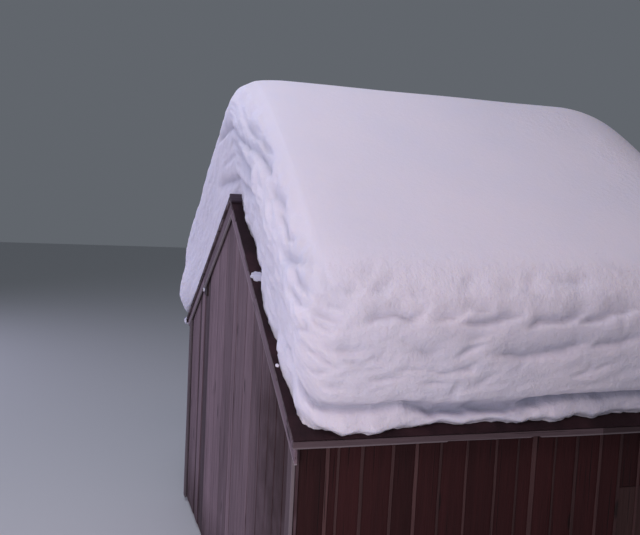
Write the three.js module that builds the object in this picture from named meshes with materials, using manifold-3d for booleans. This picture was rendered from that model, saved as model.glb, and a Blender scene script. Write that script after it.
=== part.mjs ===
// A small gabled hut of weathered boards on a timber frame, with deep snow lying on its roof.
// Millimetres, +Z up. The origin is on the ground under the middle of the hut. X runs across the hut,
// with the dark side wall at +X, and Y runs along the ridge, with the front gable at -Y.

import * as THREE from "three";
import { mergeVertices } from "three/addons/utils/BufferGeometryUtils.js";
import Module from "manifold-3d";

const wasm = await Module();
wasm.setup();

// Driving dimensions of the hut
const ROOF_HALF_WIDTH = 2100;
const ROOF_HALF_LENGTH = 1800;
const EAVE_HEIGHT = 1900;
const ROOF_RISE = 0.614;
const EAVE_OVERHANG = 90;
const VERGE_OVERHANG = 45;

// Sections of its timber and boards
const GAP = 0.3;
const BEAM = 120;
const BEAM_DEPTH = 140;
const WALL_BOARD = 24;
const ROOF_BOARD = 24;
const COVERING = 5;
const BOARD_FOOT = 40;

// Boards that trim the roof and the corners
const EAVE_BOARD_DEPTH = 56;
const EAVE_BOARD_THICKNESS = 25;
const RIDGE_BOARD_WIDTH = 100;
const RIDGE_BOARD_THICKNESS = 22;
const BARGE_THICKNESS = 18;
const BARGE_SETBACK = 20;
const BARGE_END = 2070;
const BARGE_FOOT = 140;
const OLD_BARGE_FOOT = { upper: 125, lower: 85 };
const CORNER_BOARD_WIDTH = 95;
const CORNER_BOARD_THICKNESS = 20;
const PURLIN_CENTRE = 1170;

// The snow on the roof
const SNOW_DEPTH = 914;
const SNOW_RISE = 0.635;
const SNOW_RIDGE_ROUNDING = 110;
const SNOW_TAIL_START = 1050;
const SNOW_TAIL_DROP = 255;
const SNOW_SHOULDER = { length: 430, drop: 130, start: 600, atRidge: 0.55 };
const SNOW_EAVE_SETBACK = 50;
const SNOW_VERGE_SETBACK = 52;
const SNOW_APEX_HOLLOW = { depth: 48, width: 620 };
const SNOW_CORNER_ROUNDING = 200;
const SNOW_CORNER_POWER = 3;
const SNOW_RIM_SHARE = 0.25;
const SNOW_SIDE_SHARE = 0.74;
const SNOW_SWELL = {
  size: 10,
  across: { everyX: 310, everyZ: 240, start: 0.8 },
  along: { everyY: 350, everyZ: -190 },
};
const SNOW_SLUMP = {
  reachX: 2060,
  reachY: 1760,
  width: 420,
  depth: 450,
  centre: 235,
  rise: 265,
  foot: 45,
  overEave: 148,
  overVerge: 138,
};
const SNOW_STEPS = { across: 24, along: 22, up: 10 };
const SNOW_GABLE_OUTLINE = [
  [0, 0],
  [10, 120],
  [22, 240],
  [45, 380],
  [78, 520],
  [100, 650],
  [92, 770],
  [30, 865],
  [-80, 904],
  [-200, 914],
];
const SNOW_EAVE_OUTLINE = [
  [0, 0],
  [34, 55],
  [4, 125],
  [56, 215],
  [92, 350],
  [124, 510],
  [140, 670],
  [95, 800],
  [-30, 889],
  [-200, 914],
];

// Working places that follow from them
const UPRIGHT = Math.hypot(1, ROOF_RISE);
const SLOPE = Math.atan(ROOF_RISE);
const APEX = EAVE_HEIGHT + ROOF_RISE * ROOF_HALF_WIDTH;
const DECK_TOP = COVERING + GAP;
const DECK_FOOT = DECK_TOP + ROOF_BOARD;
const FRAME_TOP = DECK_FOOT + GAP;
const SIDE_FACE = ROOF_HALF_WIDTH - EAVE_OVERHANG;
const SIDE_FRAME = SIDE_FACE - WALL_BOARD - GAP;
const GABLE_FACE = ROOF_HALF_LENGTH - VERGE_OVERHANG;
const GABLE_FRAME = GABLE_FACE - WALL_BOARD - GAP;
const BARGE_FACE = ROOF_HALF_LENGTH - BARGE_SETBACK;
const BEAM_END = BARGE_FACE - BARGE_THICKNESS - GAP;
const POST_INNER_X = SIDE_FRAME - BEAM;
const POST_INNER_Y = GABLE_FRAME - BEAM;
const PLATE_FOOT = underRoof(SIDE_FRAME, FRAME_TOP) - BEAM_DEPTH;
const TIE_TOP = PLATE_FOOT - GAP;
const TIE_FOOT = TIE_TOP - BEAM_DEPTH;
const PURLIN_INNER = PURLIN_CENTRE - BEAM / 2;
const PURLIN_OUTER = PURLIN_CENTRE + BEAM / 2;
const PURLIN_FOOT = underRoof(PURLIN_OUTER, FRAME_TOP) - BEAM_DEPTH;
const RIDGE_BEAM_FOOT = underRoof(0, FRAME_TOP) - BEAM_DEPTH;

const materials = {
  gableWood: () => wood(0x6b5f60),
  sideWood: () => wood(0x2e2420),
  trimWood: () => wood(0x8c8683),
  ridgeWood: () => wood(0x75604f),
  frameWood: () => wood(0x7d6650),
  covering: () => new THREE.MeshStandardMaterial({ color: 0x17151a, roughness: 0.85, metalness: 0 }),
  snow: () => new THREE.MeshStandardMaterial({ color: 0xe9e8f2, roughness: 0.9, metalness: 0 }),
};

function wood(color) {
  return new THREE.MeshStandardMaterial({ color, roughness: 0.85, metalness: 0 });
}

// Height of the point that lies a given distance under the roof's surface, square to the slope.
function underRoof(x, distance) {
  return APEX - ROOF_RISE * Math.abs(x) - distance * UPRIGHT;
}

const hut = new THREE.Group();
hut.name = "hut";

function add(name, geometry, material) {
  const mesh = new THREE.Mesh(geometry, material);
  mesh.name = name;
  hut.add(mesh);
  return mesh;
}

// A solid with an outline in X and Z, drawn out along Y.
function alongY(outline, yFrom, yTo) {
  const shape = new THREE.Shape(outline.map(([x, z]) => new THREE.Vector2(x, z)));
  const geometry = new THREE.ExtrudeGeometry(shape, { depth: yTo - yFrom, bevelEnabled: false });
  geometry.rotateX(Math.PI / 2);
  geometry.translate(0, yTo, 0);
  return geometry;
}

function box(low, high) {
  const size = high.map((value, axis) => value - low[axis]);
  const geometry = new THREE.BoxGeometry(...size);
  geometry.translate(...low.map((value, axis) => value + size[axis] / 2));
  return geometry;
}

// A length that runs from the front (end -1) or the back (end 1) towards the middle of the hut.
function spanY(end, outer, inner) {
  return end < 0 ? [-outer, -inner] : [inner, outer];
}

function toManifold(geometry) {
  const bare = geometry.clone();
  bare.deleteAttribute("normal");
  bare.deleteAttribute("uv");
  const merged = mergeVertices(bare);
  return new wasm.Manifold(
    new wasm.Mesh({
      numProp: 3,
      vertProperties: new Float32Array(merged.attributes.position.array),
      triVerts: new Uint32Array(merged.index.array),
    }),
  );
}

function toGeometry(solid) {
  const mesh = solid.getMesh();
  const geometry = new THREE.BufferGeometry();
  geometry.setAttribute("position", new THREE.BufferAttribute(mesh.vertProperties, 3));
  geometry.setIndex(new THREE.BufferAttribute(mesh.triVerts, 1));
  geometry.computeVertexNormals();
  return geometry;
}

function cutAway(geometry, cutters) {
  const whole = toManifold(geometry);
  return toGeometry(cutters.reduce((solid, cutter) => solid.subtract(toManifold(cutter)), whole));
}

// The outlines of the long roof beams, grown by a clearance where they pass through a wall.
function sideBeamOutline(side, inner, outer, foot, clearance) {
  const top = FRAME_TOP - clearance;
  return [
    [side * (inner - clearance), foot - clearance],
    [side * (outer + clearance), foot - clearance],
    [side * (outer + clearance), underRoof(outer + clearance, top)],
    [side * (inner - clearance), underRoof(inner - clearance, top)],
  ];
}

function ridgeBeamOutline(clearance) {
  const half = BEAM / 2 + clearance;
  const top = FRAME_TOP - clearance;
  const foot = RIDGE_BEAM_FOOT - clearance;
  return [
    [-half, foot],
    [half, foot],
    [half, underRoof(half, top)],
    [0, underRoof(0, top)],
    [-half, underRoof(half, top)],
  ];
}

function plateOutline(side) {
  return sideBeamOutline(side, POST_INNER_X, SIDE_FRAME, PLATE_FOOT, 0);
}

function purlinOutline(side, clearance) {
  return sideBeamOutline(side, PURLIN_INNER, PURLIN_OUTER, PURLIN_FOOT, clearance);
}

const SIDES = [
  [1, "right"],
  [-1, "left"],
];
const ENDS = [
  [-1, "front"],
  [1, "back"],
];

function addFrame() {
  for (const [side, hand] of SIDES) {
    const sill = [POST_INNER_X, SIDE_FRAME].map((x) => side * x).sort((a, b) => a - b);
    add(
      `sill_${hand}`,
      box([sill[0], -GABLE_FRAME, 0], [sill[1], GABLE_FRAME, BEAM]),
      materials.frameWood(),
    );
    add(`wall_plate_${hand}`, alongY(plateOutline(side), -GABLE_FRAME, GABLE_FRAME), materials.frameWood());
    add(`purlin_${hand}`, alongY(purlinOutline(side, 0), -BEAM_END, BEAM_END), materials.frameWood());
  }
  add("ridge_beam", alongY(ridgeBeamOutline(0), -BEAM_END, BEAM_END), materials.frameWood());
  for (const [end, place] of ENDS) {
    const [yFrom, yTo] = spanY(end, GABLE_FRAME, POST_INNER_Y);
    const reach = POST_INNER_X - GAP;
    add(`sill_${place}`, box([-reach, yFrom, 0], [reach, yTo, BEAM]), materials.frameWood());
    add(`tie_beam_${place}`, box([-reach, yFrom, TIE_FOOT], [reach, yTo, TIE_TOP]), materials.frameWood());
    addPost(`gable_post_${place}_middle`, -BEAM / 2, BEAM / 2, end, TIE_TOP + GAP, RIDGE_BEAM_FOOT - GAP);
    for (const [side, hand] of SIDES) {
      const corner = [side * POST_INNER_X, side * SIDE_FRAME].sort((a, b) => a - b);
      const purlin = [side * PURLIN_INNER, side * PURLIN_OUTER].sort((a, b) => a - b);
      addPost(`corner_post_${place}_${hand}`, ...corner, end, BEAM + GAP, PLATE_FOOT - GAP);
      addPost(`gable_post_${place}_${hand}`, ...purlin, end, TIE_TOP + GAP, PURLIN_FOOT - GAP);
    }
  }
}

function addPost(name, xFrom, xTo, end, foot, top) {
  const [yFrom, yTo] = spanY(end, GABLE_FRAME, POST_INNER_Y);
  add(name, box([xFrom, yFrom, foot], [xTo, yTo, top]), materials.frameWood());
}

function addWalls() {
  const beams = [ridgeBeamOutline(GAP)];
  for (const [side, hand] of SIDES) {
    beams.push(purlinOutline(side, GAP));
    const inner = side * (SIDE_FACE - WALL_BOARD);
    const outer = side * SIDE_FACE;
    const outline = [
      [inner, BOARD_FOOT],
      [outer, BOARD_FOOT],
      [outer, underRoof(outer, FRAME_TOP)],
      [inner, underRoof(inner, FRAME_TOP)],
    ];
    add(`side_wall_${hand}`, alongY(outline, -GABLE_FRAME, GABLE_FRAME), materials.sideWood());
  }
  const gable = [
    [-SIDE_FACE, BOARD_FOOT],
    [SIDE_FACE, BOARD_FOOT],
    [SIDE_FACE, underRoof(SIDE_FACE, FRAME_TOP)],
    [0, underRoof(0, FRAME_TOP)],
    [-SIDE_FACE, underRoof(SIDE_FACE, FRAME_TOP)],
  ];
  for (const [end, place] of ENDS) {
    const [yFrom, yTo] = spanY(end, GABLE_FACE, GABLE_FACE - WALL_BOARD);
    const holes = beams.map((outline) => alongY(outline, yFrom - WALL_BOARD, yTo + WALL_BOARD));
    add(`gable_wall_${place}`, cutAway(alongY(gable, yFrom, yTo), holes), materials.gableWood());
    for (const [side, hand] of SIDES) {
      addCornerBoard(`corner_board_${place}_${hand}`, side, end);
    }
  }
}

// At the front left and the back right the lower barge boards are narrower than the rest.
function bargeFoot(side, end, piece) {
  return side === end ? OLD_BARGE_FOOT[piece] : BARGE_FOOT;
}

function addCornerBoard(name, side, end) {
  const inner = SIDE_FACE - CORNER_BOARD_WIDTH;
  const top = bargeFoot(side, end, "lower") + GAP;
  const outline = [
    [side * inner, BOARD_FOOT],
    [side * SIDE_FACE, BOARD_FOOT],
    [side * SIDE_FACE, underRoof(SIDE_FACE, top)],
    [side * inner, underRoof(inner, top)],
  ];
  const face = GABLE_FACE + GAP;
  add(name, alongY(outline, ...spanY(end, face + CORNER_BOARD_THICKNESS, face)), materials.trimWood());
}

// A board or sheet that follows one slope, with upright cuts at both ends.
function slopeOutline(side, inner, outer, top, foot) {
  return [
    [side * inner, underRoof(inner, foot)],
    [side * outer, underRoof(outer, foot)],
    [side * outer, underRoof(outer, top)],
    [side * inner, underRoof(inner, top)],
  ];
}

function addRoof() {
  const length = ROOF_HALF_LENGTH;
  const boardEnd = ROOF_HALF_WIDTH - EAVE_BOARD_THICKNESS - GAP;
  const eaveTop = underRoof(ROOF_HALF_WIDTH - EAVE_BOARD_THICKNESS, DECK_TOP);
  for (const [side, hand] of SIDES) {
    const covering = slopeOutline(side, GAP, ROOF_HALF_WIDTH, 0, COVERING);
    const deck = slopeOutline(side, GAP, boardEnd, DECK_TOP, DECK_FOOT);
    const eaveFoot = eaveTop - EAVE_BOARD_DEPTH;
    const eave = [
      [side * (ROOF_HALF_WIDTH - EAVE_BOARD_THICKNESS), eaveFoot],
      [side * ROOF_HALF_WIDTH, eaveFoot],
      [side * ROOF_HALF_WIDTH, underRoof(ROOF_HALF_WIDTH, DECK_TOP)],
      [side * (ROOF_HALF_WIDTH - EAVE_BOARD_THICKNESS), eaveTop],
    ];
    add(`roof_covering_${hand}`, alongY(covering, -length, length), materials.covering());
    add(`roof_boards_${hand}`, alongY(deck, -length, length), materials.trimWood());
    add(`eave_board_${hand}`, alongY(eave, -length, length), materials.trimWood());
  }
  add("ridge_board", ridgeBoard(0), materials.ridgeWood());
  for (const [end, place] of ENDS) {
    for (const [side, hand] of SIDES) {
      const [yFrom, yTo] = spanY(end, BARGE_FACE, BARGE_FACE - BARGE_THICKNESS);
      const upperFoot = bargeFoot(side, end, "upper");
      const lowerFoot = bargeFoot(side, end, "lower");
      const upper = slopeOutline(side, GAP, PURLIN_CENTRE - GAP, FRAME_TOP, upperFoot);
      const lower = slopeOutline(side, PURLIN_CENTRE + GAP, BARGE_END, FRAME_TOP, lowerFoot);
      add(`barge_board_${place}_${hand}_upper`, alongY(upper, yFrom, yTo), materials.trimWood());
      add(`barge_board_${place}_${hand}_lower`, alongY(lower, yFrom, yTo), materials.trimWood());
    }
  }
}

// The board that lies on the right slope with its upper edge on the ridge.
function ridgeBoard(clearance) {
  const down = new THREE.Vector2(Math.cos(SLOPE), -Math.sin(SLOPE));
  const out = new THREE.Vector2(Math.sin(SLOPE), Math.cos(SLOPE));
  const corner = (along, off) => [along * down.x + off * out.x, APEX + along * down.y + off * out.y];
  const low = GAP - clearance;
  const high = GAP + RIDGE_BOARD_THICKNESS + clearance;
  const outline = [
    corner(-clearance, low),
    corner(RIDGE_BOARD_WIDTH + clearance, low),
    corner(RIDGE_BOARD_WIDTH + clearance, high),
    corner(-clearance, high),
  ];
  const half = ROOF_HALF_LENGTH + clearance;
  return alongY(outline, -half, half);
}

// The snow is a thick blanket that follows the roof. Its foot stays back from the roof's edges, its
// sides lean out above that in the outline given for each kind of edge, and its plan has round corners
// that a higher corner power makes squarer. Its top rounds off at the ends, less so right at the ridge.
// Both outlines give the way out from the foot and the height, from the foot to the flat of the top.
// It is shaped from a box: u and v run from -1 to 1 across and along it, and w from 0 to 1 upwards.
const gableOutline = new THREE.SplineCurve(
  SNOW_GABLE_OUTLINE.map(([out, height]) => new THREE.Vector2(out, height)),
);
const eaveOutline = new THREE.SplineCurve(
  SNOW_EAVE_OUTLINE.map(([out, height]) => new THREE.Vector2(out, height)),
);

function snowTop(x, y) {
  const ridge = SNOW_RISE * (Math.hypot(x, SNOW_RIDGE_ROUNDING) - SNOW_RIDGE_ROUNDING);
  const alongTail = (y - SNOW_TAIL_START) / (ROOF_HALF_LENGTH - SNOW_TAIL_START);
  const tail = SNOW_TAIL_DROP * Math.max(0, alongTail) ** 2;
  const { length, drop, start, atRidge } = SNOW_SHOULDER;
  const nearEnd = Math.max(0, 1 - (ROOF_HALF_LENGTH - Math.abs(y)) / length);
  const strength = atRidge + (1 - atRidge) * Math.min(1, Math.abs(x) / start);
  return APEX + SNOW_DEPTH - ridge - tail - drop * (nearEnd * strength) ** 2;
}

// Broad swellings of the sides, which fade out towards the flat of the top.
function snowSwell(x, y, height) {
  const { size, across, along } = SNOW_SWELL;
  const acrossWave = Math.sin(x / across.everyX + height / across.everyZ + across.start);
  const alongWave = Math.cos(y / along.everyY + height / along.everyZ);
  return size * acrossWave * alongWave;
}

// At one corner of each gable the snow has slid down the roof and hangs over the corner.
function snowSlump(x, y, height) {
  const { reachX, reachY, width, depth, centre, rise } = SNOW_SLUMP;
  const onPlan = ((Math.abs(x) - reachX) / width) ** 2 + ((Math.abs(y) - reachY) / depth) ** 2;
  const heavy = x * y > 0 ? 1 : 0;
  return heavy * Math.exp(-onPlan - ((height - centre) / rise) ** 2);
}

// How much farther the snow reaches in a direction than a quarter circle round its corner would.
function cornerStretch(away) {
  const power = SNOW_CORNER_POWER;
  const sum = Math.abs(away.x) ** power + Math.abs(away.y) ** power;
  return sum > 0 ? sum ** (-1 / power) : 1;
}

function snowPoint(u, v, w) {
  const core = 1 - SNOW_RIM_SHARE;
  const rimX = Math.max(0, Math.abs(u) - core) / SNOW_RIM_SHARE;
  const rimY = Math.max(0, Math.abs(v) - core) / SNOW_RIM_SHARE;
  const rim = Math.max(rimX, rimY);
  const away = new THREE.Vector2(Math.sign(u) * rimX, Math.sign(v) * rimY).normalize();
  const share = rim < 1 ? 1 - (1 - SNOW_SIDE_SHARE) * rim : w * SNOW_SIDE_SHARE;
  const profile = gableOutline.getPoint(share).lerp(eaveOutline.getPoint(share), away.x ** 2);
  if (w === 0) {
    profile.set(SNOW_CORNER_ROUNDING * (rim - 1), 0);
  }
  const onRim = (SNOW_CORNER_ROUNDING + profile.x) * cornerStretch(away);
  const innerX = ROOF_HALF_WIDTH - SNOW_EAVE_SETBACK - SNOW_CORNER_ROUNDING;
  const innerY = ROOF_HALF_LENGTH - SNOW_VERGE_SETBACK - SNOW_CORNER_ROUNDING;
  let x = THREE.MathUtils.clamp(u / core, -1, 1) * innerX + away.x * onRim;
  const hollow = SNOW_APEX_HOLLOW.depth * Math.exp(-((x / SNOW_APEX_HOLLOW.width) ** 2));
  let y = THREE.MathUtils.clamp(v / core, -1, 1) * innerY + away.y * (onRim - hollow * rim);
  const slump = snowSlump(x, y, profile.y) * Math.min(1, profile.y / SNOW_SLUMP.foot);
  const swell = snowSwell(x, y, profile.y) * rim * Math.sin((Math.PI * profile.y) / SNOW_DEPTH);
  x += away.x * swell + Math.sign(x) * slump * SNOW_SLUMP.overEave;
  y += away.y * swell + Math.sign(y) * slump * SNOW_SLUMP.overVerge;
  const foot = underRoof(x, -GAP);
  return new THREE.Vector3(x, y, foot + (profile.y / SNOW_DEPTH) * (snowTop(x, y) - foot));
}

function addSnow() {
  const { across, along, up } = SNOW_STEPS;
  const geometry = new THREE.BoxGeometry(2, 2, 1, across, along, up).translate(0, 0, 1 / 2);
  const position = geometry.attributes.position;
  for (let i = 0; i < position.count; i += 1) {
    const point = snowPoint(position.getX(i), position.getY(i), position.getZ(i));
    position.setXYZ(i, point.x, point.y, point.z);
  }
  add("roof_snow", cutAway(geometry, [ridgeBoard(GAP)]), materials.snow());
}

addFrame();
addWalls();
addRoof();
addSnow();

export default hut;
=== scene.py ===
# The looks of a small gabled hut of weathered boards, with deep snow lying on its roof.
# Metres, +Z up. Y runs along the ridge, with the front gable at -Y and the dark side wall at +X.

import math
import random

import bmesh
import bpy
import numpy as np
from mathutils import Matrix, Vector, noise


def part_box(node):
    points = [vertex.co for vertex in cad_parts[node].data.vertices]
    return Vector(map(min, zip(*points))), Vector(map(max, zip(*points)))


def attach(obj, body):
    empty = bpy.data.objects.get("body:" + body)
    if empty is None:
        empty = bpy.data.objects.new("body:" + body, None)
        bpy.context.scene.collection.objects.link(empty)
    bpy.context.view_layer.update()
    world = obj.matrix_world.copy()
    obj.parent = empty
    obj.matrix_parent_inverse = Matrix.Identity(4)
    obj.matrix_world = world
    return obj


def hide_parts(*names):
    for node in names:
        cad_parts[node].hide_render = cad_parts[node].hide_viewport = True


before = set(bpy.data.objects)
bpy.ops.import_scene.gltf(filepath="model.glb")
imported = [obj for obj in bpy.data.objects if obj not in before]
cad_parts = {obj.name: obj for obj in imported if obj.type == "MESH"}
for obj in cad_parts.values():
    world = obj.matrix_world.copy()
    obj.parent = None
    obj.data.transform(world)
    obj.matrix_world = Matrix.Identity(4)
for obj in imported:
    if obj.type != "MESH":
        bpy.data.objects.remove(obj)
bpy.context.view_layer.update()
draw = random.Random(11)

# Driving dimensions that the frame's boxes do not give. BUTT_GAP parts boards that meet, BACK_GAP keeps
# a board off what lies behind it, and UPRIGHT is the height that stands for a metre square to the roof.
ROOF_RISE = 0.614
COVERING = 0.005
ROOF_BOARD = 0.024
DECK_BOARD_WIDTH = 0.15
DECK_BOARD_GAP = 0.003
DECK_END_UNEVEN = 0.008
GAP = 0.0003
BUTT_GAP = 0.001
BACK_GAP = 0.0005
BARGE_DEPTH = 0.14
OLD_BARGE_DEPTH = {"upper": 0.125, "lower": 0.085}
RIDGE_BOARD_WIDTH = 0.1
RIDGE_BOARD_THICKNESS = 0.022
SLOPE = math.atan(ROOF_RISE)
UPRIGHT = math.hypot(1, ROOF_RISE)
DECK_TOP = COVERING + GAP
DECK_FOOT = DECK_TOP + ROOF_BOARD
FRAME_TOP = DECK_FOOT + GAP

# Places that come from the frame
COVERING_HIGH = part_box("roof_covering_right")[1]
HALF_WIDTH = COVERING_HIGH.x
HALF_LENGTH = COVERING_HIGH.y
APEX = COVERING_HIGH.z + ROOF_RISE * GAP
SIDE_LOW, SIDE_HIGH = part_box("side_wall_right")
GABLE_LOW, GABLE_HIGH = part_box("gable_wall_back")
BARGE_LOW, BARGE_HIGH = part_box("barge_board_back_right_upper")
PURLIN_LOW, PURLIN_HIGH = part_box("purlin_right")
RIDGE_BEAM_LOW, RIDGE_BEAM_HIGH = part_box("ridge_beam")
EAVE_LOW, EAVE_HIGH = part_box("eave_board_right")
CORNER_LOW, CORNER_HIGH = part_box("corner_board_back_right")
DECK_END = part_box("roof_boards_right")[1].x

# Edges of the front gable's boards across it, the gaps between them and the boards' tones. All lie
# back by GABLE_FACE and up to USUAL_SINK more, two by GABLE_SINK more. A wall board's foot ends up to
# FOOT_UNEVEN higher.
GABLE_EDGES = [
    -2.01, -1.76, -1.485, -1.395, -1.225, -0.965, -0.84, -0.565, -0.225, 0.11, 0.255, 0.57, 0.84,
    1.12, 1.355, 1.545, 1.755, 2.01,
]
GABLE_GAP = 0.008
BACK_GABLE_GAP = 0.004
WIDE_GABLE_GAPS = {8: 0.012, 10: 0.018, 11: 0.013, 13: 0.02, 14: 0.013, 16: 0.014}
WIDE_BACK_GAPS = {3: 0.008, 13: 0.01}
GABLE_TONES = {
    0: 0.55, 1: 0.65, 2: 0.1, 3: 0.75, 4: 0.05, 5: 0.7, 6: 0.85, 7: 0.75, 8: 0.5, 9: 0.75,
    10: 0.6, 11: 0.7, 12: 0.55, 13: 0.6, 14: 0.5, 15: 0.4, 16: 0.45,
}
GABLE_FACE = 0.0015
USUAL_SINK = 0.0025
GABLE_SINK = {2: 0.006, 4: 0.009}
FOOT_UNEVEN = 0.006

# Middles of the light strips on the right side wall, from the front, and the lighter patch below
SIDE_STRIPS = [
    -1.568, -1.505, -1.36, -1.175, -1.025, -0.87, -0.7, -0.505, -0.355, -0.245, -0.095, 0.06, 0.232,
    0.385,
]
STRIP_PITCH = 0.155
STRIP_PITCH_SPREAD = 0.012
STRIP_WIDTH = 0.018
STRIP_HALF_SPREAD = (-0.003, 0.002)
STRIP_FOOT_UNEVEN = 0.02
WIDE_STRIP = 0.028
WIDE_STRIP_PLACE = 9
STRIP_THICKNESS = 0.009
SIDE_BOARD_GAP = 0.003
PATCH_BOARDS = 2
PATCH_TOP = 1.47
PATCH_GAP = 0.004

# The right eave board: points along its lower edge, as Y and the height above its foot
EAVE_JOINT = 0.17
EAVE_LOWER_EDGE = [
    (-1.45, 0), (-0.885, 0.001), (-0.878, 0.006), (-0.34, 0.003), (-0.31, 0.011), (-0.275, 0.01),
    (-0.265, 0.002), (-0.16, 0),
]
SECOND_PLANK_UP = 0.001

# The felt's upper edge, how far its other edges are frayed down and along, and how high it ripples
FELT_START = 0.0045
FELT_FRAY = (0.004, 0.006)
FELT_RIPPLE = 0.0022

# The snow on the roof. Its outlines, over a gable and over an eave, give the way out from the foot and
# the height.
SNOW_DEPTH = 0.914
SNOW_RISE = 0.635
SNOW_RIDGE_ROUNDING = 0.11
SNOW_TAIL_START = 1.05
SNOW_TAIL_DROP = 0.255
SNOW_EAVE_SETBACK = 0.05
SNOW_VERGE_SETBACK = 0.052
SNOW_CORNER_ROUNDING = 0.2
SNOW_CORNER_POWER = 3.0
SNOW_OVER_ROOF = 0.0005
SNOW_GABLE_OUTLINE = [
    (0, 0), (0.006, 0.12), (0.014, 0.24), (0.034, 0.38), (0.058, 0.52), (0.084, 0.65),
    (0.078, 0.77), (0.018, 0.862), (-0.08, 0.905), (-0.14, 0.913), (-0.2, 0.914),
]
SNOW_EAVE_OUTLINE = [
    (0, 0), (0.034, 0.055), (0.028, 0.125), (0.06, 0.215), (0.092, 0.35), (0.124, 0.51),
    (0.14, 0.67), (0.095, 0.8), (-0.03, 0.889), (-0.12, 0.911), (-0.2, 0.914),
]

# Its mesh: steps across, along and up, how much closer than usual they lie at the front end, the outer
# share of the top's steps that bends down, and the share of an outline that the sides' steps cover
SNOW_STEPS = (170, 200, 78)
SNOW_CLOSER_IN_FRONT = 0.3
SNOW_RIM_SHARE = 0.25
SNOW_SIDE_SHARE = 0.66

# The snow has slumped outward at the front left corner, and at the back right one: the slump's middle
# and size on the plan, its middle height and its rise, where it starts, and how far out it goes
SLUMP_REACH = (2.06, 1.76)
SLUMP_SIZE = (0.42, 0.45)
SLUMP_CENTRE = 0.235
SLUMP_RISE = 0.265
SLUMP_FOOT = 0.045
SLUMP_OVER = (0.128, 0.125)

# Near its front and back ends the snow's top rounds off, and its crest lies farther back in places:
# how far, for points across the gable from the left eave to the right, and from which height to which
SNOW_SHOULDER = 0.43
SNOW_SHOULDER_DROP = 0.05
CREST_BACK = [
    (-1.8, 0), (-0.3, 0), (0, 0.008), (0.45, 0.06), (1.1, 0.055), (1.55, 0.03), (1.9, 0),
]
CREST_BACK_HEIGHTS = (0.58, 0.86)

# Where the snow's foot lies: X along the eave for a Y, and the way in from the verge for an X
EAVE_FOOT = [
    (-1.6, 2.049), (-1.52, 2.08), (-1.42, 2.074), (-1.33, 2.085), (-1.27, 2.066), (-1.12, 2.043),
    (-0.98, 2.034), (-0.91, 2.017), (-0.77, 2.047), (-0.65, 2.03), (-0.6, 2.024), (-0.45, 2.045),
    (-0.4, 2.054), (-0.33, 2.033), (-0.28, 2.04), (-0.22, 2.033), (-0.17, 2.046), (-0.05, 2.029),
    (0.01, 2.015), (0.12, 2.034), (0.25, 2.007), (0.44, 1.999), (0.6, 2.016), (0.75, 2.008),
    (0.95, 2.03), (1.1, 2.018), (1.3, 2.04), (1.45, 2.028), (1.6, 2.038),
]
VERGE_FOOT = [
    (0, 0.095), (0.17, 0.089), (0.29, 0.069), (0.4, 0.084), (0.51, 0.101), (0.61, 0.091),
    (0.71, 0.083), (0.81, 0.093), (0.9, 0.072), (1, 0.055), (1.17, 0.034), (1.34, 0.04),
    (1.42, 0.058), (1.49, 0.058), (1.57, 0.032), (1.64, 0.041), (1.78, 0.053), (1.91, 0.058),
]
FOOT_FADE = 0.13

# A long groove low in the snow's side, as X, Y and the height over the foot, with its reach down and
# up and its depth for a Y
GROOVE = [
    (1.78, -1.77, 0.19), (1.96, -1.76, 0.165), (2.04, -1.72, 0.155), (2.08, -1.63, 0.144),
    (2.08, -1.45, 0.142), (2.08, -1.3, 0.146), (2.08, -1.17, 0.152), (2.08, -1.06, 0.122),
    (2.07, -0.95, 0.086), (2.07, -0.85, 0.092), (2.07, -0.74, 0.106), (2.07, -0.59, 0.09),
    (2.07, -0.5, 0.094), (2.07, -0.42, 0.11), (2.08, -0.26, 0.13), (2.08, -0.11, 0.15),
    (2.08, 0.03, 0.15), (2.08, 0.18, 0.146), (2.08, 0.33, 0.146), (2.08, 0.8, 0.142),
    (2.08, 1.3, 0.13), (2.08, 1.9, 0.145),
]
GROOVE_REACH = (0.018, 0.056)
GROOVE_DEPTHS = [
    (-1.6, 0.05), (-1.2, 0.056), (-1.05, 0.066), (-0.92, 0.08), (-0.7, 0.074), (-0.42, 0.078),
    (-0.1, 0.09),
]
# The lip under it gets painted shade, darker and bluer: how much, from which Y to where it is full, and up
# to which height
LIP_PAINTED_SHADE = 0.42
LIP_PAINTED_SHADE_ALONG = (-0.75, 0.05)
LIP_HEIGHT = 0.15

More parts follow.
